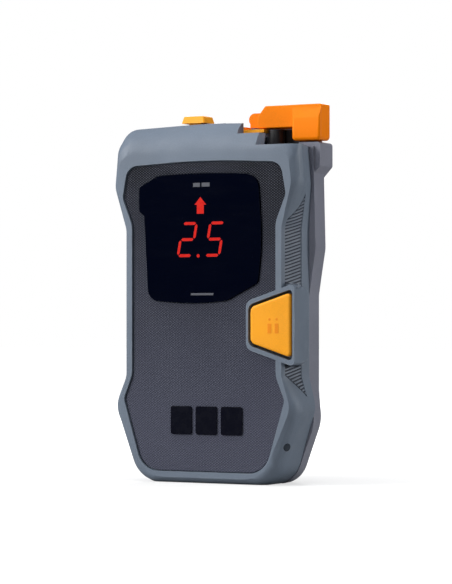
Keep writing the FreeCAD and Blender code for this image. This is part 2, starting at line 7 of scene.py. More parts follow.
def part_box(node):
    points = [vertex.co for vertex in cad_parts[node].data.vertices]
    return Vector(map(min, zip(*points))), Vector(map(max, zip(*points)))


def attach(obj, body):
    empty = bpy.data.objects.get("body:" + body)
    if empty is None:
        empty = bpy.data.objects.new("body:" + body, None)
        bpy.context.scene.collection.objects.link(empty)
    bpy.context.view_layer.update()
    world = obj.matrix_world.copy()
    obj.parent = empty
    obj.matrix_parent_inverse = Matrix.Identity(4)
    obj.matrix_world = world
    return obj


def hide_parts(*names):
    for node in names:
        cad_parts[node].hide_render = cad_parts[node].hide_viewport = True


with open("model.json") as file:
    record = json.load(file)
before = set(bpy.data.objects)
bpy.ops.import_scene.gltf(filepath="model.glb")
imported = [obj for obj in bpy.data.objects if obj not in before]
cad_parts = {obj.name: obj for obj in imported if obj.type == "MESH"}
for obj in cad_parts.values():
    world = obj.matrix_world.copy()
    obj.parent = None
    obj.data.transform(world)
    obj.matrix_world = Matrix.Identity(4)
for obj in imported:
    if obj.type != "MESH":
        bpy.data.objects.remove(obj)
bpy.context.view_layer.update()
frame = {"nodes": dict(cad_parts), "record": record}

MM = 0.001
NODES = frame["nodes"]
COLOURS = {
    "case": (0.148, 0.184, 0.236), "back": (0.205, 0.212, 0.262), "panel": (0.0035, 0.0045, 0.0085),
    # Below: the panel's pale valley colour is painted sheen toward the panel's foot, and also shows in random
    # grain patches.
    "panel_pale_grain_and_sheen": (0.064, 0.068, 0.100), "knurl": (0.165, 0.176, 0.214), "plate": (0.32, 0.33, 0.34),
    "orange": (1.0, 0.235, 0.0), "amber": (1.0, 0.40, 0.018), "icon": (0.90, 0.275, 0.008),
    "lens": (0.0003, 0.0011, 0.0060), "red": (0.50, 0.010, 0.006), "black": (0.012, 0.012, 0.014),
    "badge": (0.0015, 0.0020, 0.0070), "rubber": (0.018, 0.018, 0.019), "mark": (0.085, 0.090, 0.110),
    "board": (0.010, 0.110, 0.045), "ferrite": (0.045, 0.041, 0.039), "copper": (0.60, 0.210, 0.075),
    "steel": (0.50, 0.50, 0.49), "plated": (0.66, 0.65, 0.62), "brass": (0.62, 0.42, 0.13),
    "sleeve": (0.055, 0.075, 0.110), "band": (0.62, 0.30, 0.05), "glass": (0.50, 0.62, 0.55),
    # The lip colours paint light: the rim is painted pale as a painted highlight, and its brighter colour is a
    # painted glint under the window.
    "lip_painted_highlight": (0.105, 0.122, 0.155), "lip_painted_glint": (0.48, 0.50, 0.53), "rib_painted_light": (0.165, 0.195, 0.245),
    # The rib colour above is the case plastic painted a little lighter, as painted light; the dark colour below
    # is painted shade between the ribs.
    "rib_bed": (0.030, 0.038, 0.056),
}


# ---- camera, floor and light --------------------------------------------------------
CAMERA_TURN = math.radians(30.0)
CAMERA_DISTANCE = 0.842
CAMERA_HEIGHT = 51.3


def place_camera():
    """Long lens, level with the middle of the case and turned to its right."""
    camera = bpy.data.objects.new("camera", bpy.data.cameras.new("camera"))
    bpy.context.collection.objects.link(camera)
    camera.location = (math.sin(CAMERA_TURN) * CAMERA_DISTANCE, -math.cos(CAMERA_TURN) * CAMERA_DISTANCE,
                       CAMERA_HEIGHT * MM)
    camera.rotation_euler = (math.radians(90.0), 0.0, CAMERA_TURN)
    camera.data.lens = 158.4
    camera.data.sensor_width = 36.0
    camera.data.shift_x = 0.005
    camera.data.shift_y = 0.0565
    bpy.context.scene.camera = camera


def area_light(name, place, aim, size, watts, tint=(1.0, 1.0, 1.0)):
    lamp = bpy.data.lights.new(name, "AREA")
    lamp.shape = "RECTANGLE"
    lamp.size, lamp.size_y = size
    lamp.energy = watts
    lamp.color = tint
    holder = bpy.data.objects.new(name, lamp)
    bpy.context.collection.objects.link(holder)
    holder.location = place
    holder.rotation_euler = (Vector(aim) - Vector(place)).to_track_quat("-Z", "Y").to_euler()


def light_studio():
    """White sweep, a large soft key from the upper left front, a low fill, and a strip at the rear right,
    with softer boxes behind and above."""
    middle = (0.0, 0.0, 0.06)
    area_light("key_softbox", (-0.70, -0.62, 0.48), middle, (0.55, 0.55), 9.6)
    area_light("front_fill", (0.15, -0.95, 0.10), middle, (0.25, 0.25), 1.3)
    area_light("rear_strip", (0.72, 0.36, 0.24), middle, (0.16, 0.5), 2.9)
    area_light("back_softbox", (-0.35, 0.85, 0.40), middle, (0.4, 0.4), 4.5)
    area_light("top_box", (0.02, -0.12, 0.75), middle, (0.45, 0.35), 3.2)
    world = bpy.data.worlds.new("studio")
    bpy.context.scene.world = world
    world.use_nodes = True
    tree = world.node_tree
    sweep = tree.nodes["Background"]
    sweep.inputs["Color"].default_value = (0.80, 0.86, 1.0, 1.0)
    sweep.inputs["Strength"].default_value = 0.09
    seen = tree.nodes.new("ShaderNodeBackground")
    seen.inputs["Color"].default_value = (1.0, 1.0, 1.0, 1.0)
    ray = tree.nodes.new("ShaderNodeLightPath")
    choose = tree.nodes.new("ShaderNodeMixShader")
    tree.links.new(ray.outputs["Is Camera Ray"], choose.inputs[0])
    tree.links.new(sweep.outputs[0], choose.inputs[1])
    tree.links.new(seen.outputs[0], choose.inputs[2])
    tree.links.new(choose.outputs[0], tree.nodes["World Output"].inputs["Surface"])
    bpy.context.scene.view_settings.view_transform = "Standard"


def lay_floor():
    deselect_all()
    bpy.ops.mesh.primitive_plane_add(size=8.0)
    floor = bpy.context.object
    floor.name = "floor"
    bright = bpy.data.materials.new("floor_paper")
    bright.use_nodes = True
    shader = bright.node_tree.nodes["Principled BSDF"]
    shader.inputs["Base Color"].default_value = (0.36, 0.36, 0.36, 1.0)
    shader.inputs["Roughness"].default_value = 0.9
    shader.inputs["Specular IOR Level"].default_value = 0.1
    net = Net(bright.node_tree)
    reach = net.add("VectorMath", operation="LENGTH")
    net.put(net.add("TexCoord").outputs["Object"], reach.inputs[0])
    # The floor's camera-only glow dims toward the middle, from 1.0 beyond 22 cm to 0.62 within 3 cm: a painted
    # shadow round the case.
    glow = net.span(reach.outputs["Value"], 0.03, 0.22, 0.62, 1.0)
    floor_glow_with_painted_shadow = net.add("CombineColor")
    for channel in floor_glow_with_painted_shadow.inputs:
        net.put(glow, channel)
    net.put(floor_glow_with_painted_shadow.outputs[0], shader.inputs["Emission Color"])
    net.put(net.add("LightPath").outputs["Is Camera Ray"], shader.inputs["Emission Strength"])
    floor.data.materials.append(bright)


# ---- shared finishes ----------------------------------------------------------------
class Net:
    """A node tree with short calls for the nodes and links that the finishes need."""

    def __init__(self, tree):
        self.tree = tree

    def add(self, kind, **settings):
        node = self.tree.nodes.new("ShaderNode" + kind)
        for key, value in settings.items():
            setattr(node, key, value)
        return node

    def put(self, source, socket):
        if isinstance(source, bpy.types.NodeSocket):
            self.tree.links.new(source, socket)
        else:
            socket.default_value = source

    def math(self, operation, first, second=0.0):
        node = self.add("Math", operation=operation)
        self.put(first, node.inputs[0])
        self.put(second, node.inputs[1])
        return node.outputs[0]

    def mix(self, factor, first, second):
        node = self.add("Mix", data_type="RGBA")
        for value, socket in ((factor, node.inputs[0]), (first, node.inputs[6]), (second, node.inputs[7])):
            if isinstance(value, tuple) and len(value) == 3:
                value = value + (1.0,)
            self.put(value, socket)
        return node.outputs[2]

    def noise(self, place, scale, detail=2.0, roughness=0.5):
        node = self.add("TexNoise")
        self.put(place, node.inputs["Vector"])
        node.inputs["Scale"].default_value = scale
        node.inputs["Detail"].default_value = detail
        node.inputs["Roughness"].default_value = roughness
        return node.outputs["Fac"]

    def span(self, value, low, high, new_low=0.0, new_high=1.0):
        node = self.add("MapRange", interpolation_type="SMOOTHSTEP")
        for number, key in ((value, "Value"), (low, "From Min"), (high, "From Max"),
                            (new_low, "To Min"), (new_high, "To Max")):
            self.put(number, node.inputs[key])
        return node.outputs[0]

    def stretch(self, place, scale):
        node = self.add("Mapping")
        self.put(place, node.inputs["Vector"])
        node.inputs["Scale"].default_value = scale
        return node.outputs[0]


def effect_group(name, inputs, outputs):
    """An empty shader node group with its sockets, and its net, inlet and outlet."""
    tree = bpy.data.node_groups.new(name, "ShaderNodeTree")
    for label, kind in inputs:
        tree.interface.new_socket(name=label, in_out="INPUT", socket_type="NodeSocket" + kind)
    for label, kind in outputs:
        tree.interface.new_socket(name=label, in_out="OUTPUT", socket_type="NodeSocket" + kind)
    inlet = tree.nodes.new("NodeGroupInput")
    outlet = tree.nodes.new("NodeGroupOutput")
    return tree, Net(tree), inlet.outputs, outlet.inputs


def build_grain():
    """Spark-eroded mould grain: fine pits with a slow drift in tone."""
    tree, net, given, out = effect_group(
        "mould_grain", [("Place", "Vector"), ("Amount", "Float")],
        [("Height", "Float"), ("Tone", "Float")])
    fine = net.noise(given["Place"], 3600.0, 3.0, 0.6)
    coarse = net.noise(given["Place"], 1300.0, 2.0)
    drift = net.noise(given["Place"], 45.0, 3.0)
    height = net.math("ADD", net.math("MULTIPLY", fine, 0.65), net.math("MULTIPLY", coarse, 0.35))
    net.put(net.math("MULTIPLY", height, given["Amount"]), out["Height"])
    tone = net.math("ADD", net.span(drift, 0.3, 0.7, 0.93, 1.05), net.span(fine, 0.3, 0.7, -0.05, 0.05))
    net.put(tone, out["Tone"])
    return tree


def build_wear():
    """Rubbed edges and a few light scuffs, from the angle between the true and the rounded surface."""
    tree, net, given, out = effect_group(
        "edge_wear", [("Place", "Vector"), ("Amount", "Float")], [("Edge", "Float"), ("Scuff", "Float")])
    rounded = net.add("Bevel", samples=4)
    rounded.inputs["Radius"].default_value = 0.5 * MM
    plain = net.add("NewGeometry")
    turn = net.add("VectorMath", operation="DOT_PRODUCT")
    net.put(rounded.outputs[0], turn.inputs[0])
    net.put(plain.outputs["Normal"], turn.inputs[1])
    edge = net.span(turn.outputs["Value"], 0.995, 0.90)
    patchy = net.span(net.noise(given["Place"], 260.0, 4.0, 0.65), 0.40, 0.72)
    net.put(net.math("MULTIPLY", net.math("MULTIPLY", edge, patchy), given["Amount"]), out["Edge"])
    streaks = net.noise(net.stretch(given["Place"], (900.0, 900.0, 90.0)), 1.0, 3.0, 0.7)
    areas = net.span(net.noise(given["Place"], 30.0), 0.5, 0.7)
    scuff = net.math("MULTIPLY", net.span(streaks, 0.66, 0.80), areas)
    net.put(net.math("MULTIPLY", scuff, given["Amount"]), out["Scuff"])
    return tree


def build_dust():
    """Fine settled dust: thicker where a surface faces up."""
    tree, net, given, out = effect_group("settled_dust", [("Place", "Vector"), ("Amount", "Float")],
                                         [("Mask", "Float")])
    facing = net.add("SeparateXYZ")
    net.put(net.add("NewGeometry").outputs["Normal"], facing.inputs[0])
    upward = net.span(facing.outputs["Z"], 0.2, 1.0, 0.25, 1.0)
    specks = net.span(net.noise(given["Place"], 1500.0, 2.0, 0.7), 0.62, 0.78)
    film = net.span(net.noise(given["Place"], 70.0, 3.0), 0.40, 0.75, 0.0, 0.35)
    net.put(net.math("MULTIPLY", net.math("MULTIPLY", net.math("ADD", specks, film), upward),
                     given["Amount"]), out["Mask"])
    return tree


def build_knurl():
    """Staggered diamonds across the face: their height, and a mask of their tips."""
    tree, net, given, out = effect_group(
        "diamond_knurl", [("Place", "Vector"), ("Width", "Float"), ("Tall", "Float")],
        [("Height", "Float"), ("Tips", "Float")])
    place = net.add("SeparateXYZ")
    net.put(given["Place"], place.inputs[0])
    waves = []
    for axis, pitch in (("X", "Width"), ("Z", "Tall")):
        cycles = net.math("DIVIDE", place.outputs[axis], given[pitch])
        waves.append(net.math("COSINE", net.math("MULTIPLY", cycles, 2.0 * math.pi)))
    across, up = waves
    diamond = net.math("ADD", net.math("MULTIPLY", net.math("MULTIPLY", across, up), 0.5), 0.5)
    net.put(net.span(diamond, 0.15, 0.95), out["Height"])
    net.put(net.span(diamond, 0.70, 0.98), out["Tips"])
    return tree


DUST_GREY = (0.30, 0.31, 0.32)
GRAIN = build_grain()
WEAR = build_wear()
DUST = build_dust()
KNURL = build_knurl()


class Finish:
    """One material: a Principled shader, its Object coordinates and the shared effects."""

    def __init__(self, name, roughness, specular=0.5, coat=0.0, coat_roughness=0.1, metallic=0.0):
        self.material = bpy.data.materials.new(name)
        self.material.use_nodes = True
        self.net = Net(self.material.node_tree)
        self.shader = self.material.node_tree.nodes["Principled BSDF"]
        self.shader.inputs["Roughness"].default_value = roughness
        self.shader.inputs["Specular IOR Level"].default_value = specular
        self.shader.inputs["Coat Weight"].default_value = coat
        self.shader.inputs["Coat Roughness"].default_value = coat_roughness
        self.shader.inputs["Metallic"].default_value = metallic
        self.place = self.net.add("TexCoord").outputs["Object"]

    def effect(self, group, **values):
        node = self.net.add("Group")
        node.node_tree = group
        self.net.put(self.place, node.inputs["Place"])
        for key, value in values.items():
            node.inputs[key].default_value = value
        return node.outputs

    def tinted(self, colour, tone):
        """The colour made lighter or darker by a tone around 1."""
        node = self.net.add("VectorMath", operation="SCALE")
        node.inputs[0].default_value = colour
        self.net.put(tone, node.inputs["Scale"])
        return node.outputs[0]

    def paint(self, colour):
        self.net.put(colour, self.shader.inputs["Base Color"])

    def polish(self, roughness):
        self.net.put(roughness, self.shader.inputs["Roughness"])

    def emboss(self, height, depth, strength=1.0):
        bump = self.net.add("Bump")
        bump.inputs["Strength"].default_value = strength
        bump.inputs["Distance"].default_value = depth
        self.net.put(height, bump.inputs["Height"])
        self.net.put(bump.outputs[0], self.shader.inputs["Normal"])


def moulded_plastic(name, colour, worn, roughness, grain=1.0, depth=0.05, wear=0.5, dust=0.15, specular=0.35):
    """Grained injection-moulded plastic with rubbed edges, scuffs and a little dust."""
    finish = Finish(name, roughness, specular)
    net = finish.net
    skin = finish.effect(GRAIN, Amount=grain)
    rub = finish.effect(WEAR, Amount=wear)
    film = finish.effect(DUST, Amount=dust)
    base = finish.tinted(colour, skin["Tone"])
    rubbed = net.mix(net.math("MAXIMUM", rub["Edge"], rub["Scuff"]), base, worn)
    finish.paint(net.mix(film["Mask"], rubbed, DUST_GREY))
    matte = net.span(net.noise(finish.place, 160.0, 3.0), 0.3, 0.7, roughness - 0.05, roughness + 0.07)
    finish.polish(net.math("SUBTRACT", matte, net.math("MULTIPLY", rub["Edge"], 0.12)))
    finish.emboss(skin["Height"], depth * MM)
    return finish.material


def knurled_face():
    """Dark face with pale tips on its diamonds; the valleys are darkest at the top and carry a painted sheen
    that grows paler toward the foot.
    """
    finish = Finish("knurled_panel", 0.55, 0.12)
    net = finish.net
    knurl = finish.effect(KNURL, Width=1.14 * MM, Tall=0.82 * MM)
    skin = finish.effect(GRAIN, Amount=0.4)
    film = finish.effect(DUST, Amount=0.12)
    height = net.add("SeparateXYZ")
    net.put(finish.place, height.inputs[0])
    # Painted sheen: the valleys are painted paler toward the foot of the panel, where more light falls; the
    # same pale colour also comes in through random grain patches.
    painted_sheen_toward_foot = net.span(height.outputs["Z"], 102.0 * MM, 6.0 * MM)
    valley = net.mix(painted_sheen_toward_foot, COLOURS["panel"], COLOURS["panel_pale_grain_and_sheen"])
    valley = net.mix(net.span(skin["Tone"], 0.9, 1.1, 0.0, 0.25), valley, COLOURS["panel_pale_grain_and_sheen"])
    patch = net.span(net.noise(finish.place, 55.0, 3.0), 0.3, 0.7, 0.55, 0.85)
    tips = net.mix(net.math("MULTIPLY", knurl["Tips"], patch), valley, COLOURS["knurl"])
    finish.paint(net.mix(film["Mask"], tips, (0.25, 0.26, 0.28)))
    finish.polish(net.span(knurl["Tips"], 0.0, 1.0, 0.62, 0.44))
    raised = net.math("ADD", knurl["Height"], net.math("MULTIPLY", skin["Height"], 0.3))
    finish.emboss(raised, 0.16 * MM, 0.8)
    return finish.material


def panel_lip():
    """Smooth rim round the knurled field, painted pale as a painted highlight, with a brighter painted glint
    where it runs under the window.
    """
    finish = Finish("panel_lip", 0.40, 0.35)
    net = finish.net
    place = net.add("SeparateXYZ")
    net.put(finish.place, place.inputs[0])
    skin = finish.effect(GRAIN, Amount=0.4)
    # Painted glint: a band just under the window, Z 57.2 to 61 mm and X -19 to 14.5 mm, is painted bright.
    glint_band_below = net.math("MULTIPLY", net.span(place.outputs["Z"], 61.0 * MM, 59.6 * MM),
                     net.span(place.outputs["Z"], 57.2 * MM, 57.8 * MM))
    glint_band_beside = net.math("MULTIPLY", net.span(place.outputs["X"], -19.0 * MM, -14.0 * MM),
                      net.span(place.outputs["X"], 14.5 * MM, 12.0 * MM))
    # The rim itself is painted pale as a painted highlight.
    rim = finish.tinted(COLOURS["lip_painted_highlight"], skin["Tone"])
    finish.paint(net.mix(net.math("MULTIPLY", glint_band_below, glint_band_beside), rim, COLOURS["lip_painted_glint"]))
    finish.emboss(skin["Height"], 0.02 * MM)
    return finish.material


def lens_gloss():
    """Polished black window with faint wipe marks."""
    finish = Finish("lens_gloss", 0.07, 0.12)
    net = finish.net
    streaks = net.noise(net.stretch(finish.place, (60.0, 60.0, 420.0)), 1.0, 4.0, 0.6)
    finish.polish(net.span(streaks, 0.35, 0.75, 0.05, 0.14))
    film = finish.effect(DUST, Amount=0.10)
    finish.paint(net.mix(film["Mask"], COLOURS["lens"], (0.06, 0.06, 0.07)))
    wave = net.noise(finish.place, 40.0, 1.0)
    finish.emboss(wave, 0.02 * MM, 0.3)
    return finish.material


def lit_segment():
    """Glowing red bar, a little uneven from the diffuser behind it."""
    finish = Finish("lit_segment", 0.35, 0.1)
    net = finish.net
    finish.paint(net.mix(net.noise(finish.place, 900.0, 2.0), (0.36, 0.006, 0.004), COLOURS["red"]))
    glow = net.mix(net.span(net.noise(finish.place, 1400.0, 2.0), 0.35, 0.65),
                   (0.78, 0.012, 0.008), (1.0, 0.035, 0.018))
    net.put(glow, finish.shader.inputs["Emission Color"])
    finish.shader.inputs["Emission Strength"].default_value = 0.28
    return finish.material


def gloss_black(name, colour, roughness, specular, dust):
    """Smooth black moulding with light handling marks."""
    finish = Finish(name, roughness, specular)
    net = finish.net
    film = finish.effect(DUST, Amount=dust)
    finish.paint(net.mix(film["Mask"], colour, (0.14, 0.14, 0.15)))
    finish.polish(net.span(net.noise(finish.place, 300.0, 3.0), 0.3, 0.7, roughness, roughness + 0.12))
    finish.emboss(net.noise(finish.place, 2500.0, 2.0), 0.01 * MM, 0.5)
    return finish.material


def moulded_rubber():
    finish = Finish("seal_rubber", 0.75, 0.3)
    skin = finish.effect(GRAIN, Amount=0.8)
    finish.paint(finish.tinted(COLOURS["rubber"], skin["Tone"]))
    finish.emboss(skin["Height"], 0.06 * MM)
    return finish.material


def brushed_metal(name, colour, roughness, along=(3000.0, 3000.0, 200.0)):
    """Metal with fine drawn or turned marks and slightly dull patches."""
    finish = Finish(name, roughness, 0.5, metallic=1.0)
    net = finish.net
    marks = net.noise(net.stretch(finish.place, along), 1.0, 3.0, 0.6)
    patch = net.noise(finish.place, 220.0, 3.0)
    finish.paint(finish.tinted(colour, net.span(patch, 0.3, 0.7, 0.86, 1.05)))
    finish.polish(net.span(marks, 0.3, 0.7, roughness - 0.06, roughness + 0.10))
    finish.emboss(marks, 0.012 * MM, 0.5)
    return finish.material


def wound_copper():
    """Enamelled wire laid side by side, tinted a little from turn to turn."""
    finish = Finish("wound_copper", 0.32, 0.5, coat=0.4, metallic=1.0)
    net = finish.net
    bands = net.add("TexWave", wave_type="BANDS", bands_direction="DIAGONAL")
    net.put(finish.place, bands.inputs["Vector"])
    bands.inputs["Scale"].default_value = 420.0
    bands.inputs["Distortion"].default_value = 0.4
    tone = net.span(net.noise(finish.place, 500.0, 2.0), 0.3, 0.7, 0.8, 1.1)
    finish.paint(finish.tinted(COLOURS["copper"], tone))
    finish.emboss(bands.outputs["Fac"], 0.10 * MM)
    return finish.material


def circuit_board():
    """Green solder mask with scattered tinned pads and paler tracks."""
    finish = Finish("circuit_board", 0.38, 0.5)
    net = finish.net
    cells = net.add("TexVoronoi", feature="F1", distance="CHEBYCHEV")
    net.put(finish.place, cells.inputs["Vector"])
    cells.inputs["Scale"].default_value = 420.0
    pads = net.span(cells.outputs["Distance"], 0.22, 0.16)
    tracks = net.add("TexBrick", offset=0.3)
    net.put(net.stretch(finish.place, (420.0, 1.0, 420.0)), tracks.inputs["Vector"])
    tracks.inputs["Mortar Size"].default_value = 0.04
    green = net.mix(tracks.outputs["Fac"], COLOURS["board"], (0.020, 0.170, 0.070))
    sparse = net.math("MULTIPLY", pads, net.span(net.noise(finish.place, 120.0), 0.5, 0.55))
    finish.paint(net.mix(sparse, green, (0.55, 0.54, 0.50)))
    net.put(sparse, finish.shader.inputs["Metallic"])
    finish.emboss(sparse, 0.05 * MM)
    return finish.material


def sintered_ferrite():
    finish = Finish("sintered_ferrite", 0.62, 0.35)
    net = finish.net
    crumbs = net.noise(finish.place, 2200.0, 4.0, 0.7)
    finish.paint(finish.tinted(COLOURS["ferrite"], net.span(crumbs, 0.3, 0.7, 0.7, 1.35)))
    finish.emboss(crumbs, 0.05 * MM)
    return finish.material


BAND_FOOT = 48.0            # height at which the cells' band begins


def printed_sleeve():
    """Shrink sleeve of a cell: dark body and a plain copper-coloured band at its top."""
    finish = Finish("cell_sleeve", 0.28, 0.5, coat=0.3)
    net = finish.net
    height = net.add("SeparateXYZ")
    net.put(finish.place, height.inputs[0])
    band = net.math("GREATER_THAN", height.outputs["Z"], BAND_FOOT * MM)
    rub = finish.effect(WEAR, Amount=0.5)
    sleeve = net.mix(band, COLOURS["sleeve"], COLOURS["band"])
    finish.paint(net.mix(rub["Edge"], sleeve, (0.4, 0.4, 0.4)))
    finish.emboss(net.noise(finish.place, 500.0, 3.0), 0.02 * MM)
    return finish.material


def clear_glass():
    finish = Finish("reed_glass", 0.05, 0.5)
    finish.shader.inputs["Transmission Weight"].default_value = 0.9
    tone = finish.net.span(finish.net.noise(finish.place, 300.0), 0.3, 0.7, 0.9, 1.0)
    finish.paint(finish.tinted(COLOURS["glass"], tone))
    return finish.material


def foil_plate():
    """Blank satin foil with fine drawn lines and worn corners."""
    finish = Finish("foil_plate", 0.38, 0.5, metallic=0.6)
    net = finish.net
    lines = net.noise(net.stretch(finish.place, (150.0, 150.0, 4200.0)), 1.0, 3.0, 0.6)
    rub = finish.effect(WEAR, Amount=0.7)
    base = finish.tinted(COLOURS["plate"], net.span(lines, 0.3, 0.7, 0.90, 1.06))
    finish.paint(net.mix(net.math("MAXIMUM", rub["Edge"], rub["Scuff"]), base, (0.55, 0.55, 0.55)))
    finish.polish(net.span(lines, 0.3, 0.7, 0.32, 0.46))
    finish.emboss(lines, 0.01 * MM, 0.5)
    return finish.material


FINISH = {
    "case": moulded_plastic("case_plastic", COLOURS["case"], (0.30, 0.33, 0.37), 0.50),
    "back": moulded_plastic("back_plastic", COLOURS["back"], (0.30, 0.31, 0.33), 0.52, depth=0.06),
    # Rib finish: the case plastic painted a little lighter, as painted light; the next line is a dark finish of
    # painted shade for the sheet beneath.
    "rib_painted_light": moulded_plastic("rib_plastic_painted_light", COLOURS["rib_painted_light"], (0.33, 0.35, 0.39), 0.48, depth=0.03),
    "rib_shade_sheet": moulded_plastic("rib_bed", COLOURS["rib_bed"], (0.12, 0.13, 0.16), 0.60, depth=0.03),
    "panel": knurled_face(),
    "lip_painted_highlight": panel_lip(),
    "lens": lens_gloss(),
    "red": lit_segment(),
    "orange": moulded_plastic("orange_plastic", COLOURS["orange"], (1.0, 0.36, 0.06), 0.42, 0.6, 0.02,
                              0.35, 0.02, 0.09),
    "amber": moulded_plastic("amber_plastic", COLOURS["amber"], (1.0, 0.55, 0.12), 0.40, 0.6, 0.02,
                             0.3, 0.02, 0.18),
    "icon": moulded_plastic("icon_inlay", COLOURS["icon"], (0.9, 0.35, 0.05), 0.45, 0.6, 0.02, 0.3, 0.02, 0.15),
    "badge": gloss_black("badge_gloss", COLOURS["badge"], 0.20, 0.10, 0.03),
    "black": moulded_plastic("black_plastic", COLOURS["black"], (0.06, 0.06, 0.065), 0.42, 0.8, 0.04,
                             0.5, 0.25),
    "window": gloss_black("indicator_window", (0.020, 0.030, 0.045), 0.12, 0.4, 0.1),
    "mark": moulded_plastic("grey_ink", COLOURS["mark"], (0.3, 0.3, 0.33), 0.5, 0.3, 0.01, 0.2, 0.1),
    "rubber": moulded_rubber(),
    "board": circuit_board(),
    "ferrite": sintered_ferrite(),
    "copper": wound_copper(),
    "steel": brushed_metal("turned_steel", COLOURS["steel"], 0.30, (900.0, 200.0, 3000.0)),
    "plated": brushed_metal("plated_spring", COLOURS["plated"], 0.22),
    "brass": brushed_metal("turned_brass", COLOURS["brass"], 0.26),
    "sleeve": printed_sleeve(),
    "glass": clear_glass(),
    "plate": foil_plate(),
}
SLOT_FINISH = {
    "case_plastic": "case", "back_plastic": "back", "panel_plastic": "panel", "lens_black": "lens",
    "badge_black": "badge", "orange_plastic": "orange", "black_plastic": "black", "seal_rubber": "rubber",
    "adhesive": "rubber", "led_red": "red", "board_green": "board", "ferrite": "ferrite",
    "copper": "copper", "steel": "steel", "plated": "plated", "brass": "brass",
    "cell_label": "sleeve", "glass_tube": "glass", "label_plate": "plate",
}


# ---- hand work on pieces ------------------------------------------------------------
def deselect_all():
    for item in bpy.context.selected_objects:
        item.select_set(False)


def work_on(piece):
    deselect_all()
    bpy.context.view_layer.objects.active = piece
    piece.select_set(True)


def edit_all(piece, *steps):
    """Runs edit-mode steps on the whole of the piece."""
    work_on(piece)
    bpy.ops.object.mode_set(mode="EDIT")
    bpy.ops.mesh.select_all(action="SELECT")
    for step in steps:
        step()
    bpy.ops.object.mode_set(mode="OBJECT")


def apply_modifier(piece, kind, **settings):
    work_on(piece)
    modifier = piece.modifiers.new(kind.lower(), kind)
    for key, value in settings.items():
        setattr(modifier, key, value)
    bpy.ops.object.modifier_apply(modifier=modifier.name)


def settle(piece):
    """Puts the piece's place, turn and size into its mesh."""
    work_on(piece)
    bpy.ops.object.transform_apply(location=True, rotation=True, scale=True)


def soften(piece, width, segments=2, corner=30.0, smooth=35.0):
    """Rounds the sharp edges, then shades the piece smooth between them."""
    if width:
        apply_modifier(piece, "BEVEL", width=width * MM, segments=segments, limit_method="ANGLE",
                       angle_limit=math.radians(corner), use_clamp_overlap=True, miter_outer="MITER_ARC")
    work_on(piece)
    bpy.ops.object.shade_smooth_by_angle(angle=math.radians(smooth))
    apply_modifier(piece, "WEIGHTED_NORMAL", keep_sharp=True)


def dress(piece, finish, body):
    piece.data.materials.clear()
    piece.data.materials.append(FINISH[finish])
    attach(piece, body)


MERGE_REACH = 0.002
FLAT_ANGLE = math.radians(0.6)


def merged_copy(node, name):
    """A copy of a CAD node with its doubles merged and its flats joined."""
    piece = bpy.data.objects.new(name, NODES[node].data.copy())
    bpy.context.collection.objects.link(piece)
    edit_all(piece, lambda: bpy.ops.mesh.remove_doubles(threshold=MERGE_REACH * MM),
             lambda: bpy.ops.mesh.dissolve_limited(angle_limit=FLAT_ANGLE))
    return piece


def reworked(node, name, width, segments=2, corner=30.0, smooth=35.0):
    """A merged copy of a CAD node with its edges rounded."""
    piece = merged_copy(node, name)
    soften(piece, width, segments, corner, smooth)
    return piece


def rounded_block(name, low, high, width, segments=3):
    """A block between two corners in millimetres, with all its edges rounded."""
    deselect_all()
    middle = [(a + b) / 2.0 * MM for a, b in zip(low, high)]
    bpy.ops.mesh.primitive_cube_add(size=1.0, location=middle)
    piece = bpy.context.object
    piece.name = name
    piece.scale = [(b - a) * MM for a, b in zip(low, high)]
    settle(piece)
    soften(piece, width, segments)
    return piece


def join(pieces, name):
    deselect_all()
    for piece in pieces:
        piece.select_set(True)
    bpy.context.view_layer.objects.active = pieces[0]
    bpy.ops.object.join()
    pieces[0].name = name
    return pieces[0]


def repeated(piece, count, step):
    """Copies of a piece, each with its own mesh, moved on by one step each, all joined."""
    row = [piece]
    for i in range(1, count):
        twin = piece.copy()
        twin.data = piece.data.copy()
        twin.data.transform(Matrix.Translation(Vector(step) * i * MM))
        bpy.context.collection.objects.link(twin)
        row.append(twin)
    return join(row, piece.name)


# ---- case ---------------------------------------------------------------------------
def make_case():
    front = reworked("front_shell", "front_shell_moulding", 0.35, 3, 32.0, 48.0)
    dress(front, "case", "case")
    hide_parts("front_shell")
    back = reworked("back_shell", "back_shell_moulding", 0.40, 3, 32.0, 48.0)
    dress(back, "back", "case")
    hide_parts("back_shell")
    return front, back


RIB_PITCH = 1.07
RIB_TALL = 0.52
RIB_STAND = 0.45
RIB_LONG = 8.4
RIB_Y = -7.7
SHADE_SHEET_STAND = 0.06
RIB_RISE = math.radians(13.0)
RIB_TRIMS = (                # upper and lower ends of the rib zones and their painted-shade sheets: a point, and the way that is trimmed off
    ((0.0, -12.0, 84.4), (0.0, -0.70, 0.71)),
    ((0.0, -12.0, 35.8), (0.0, -0.63, -0.77)),
)


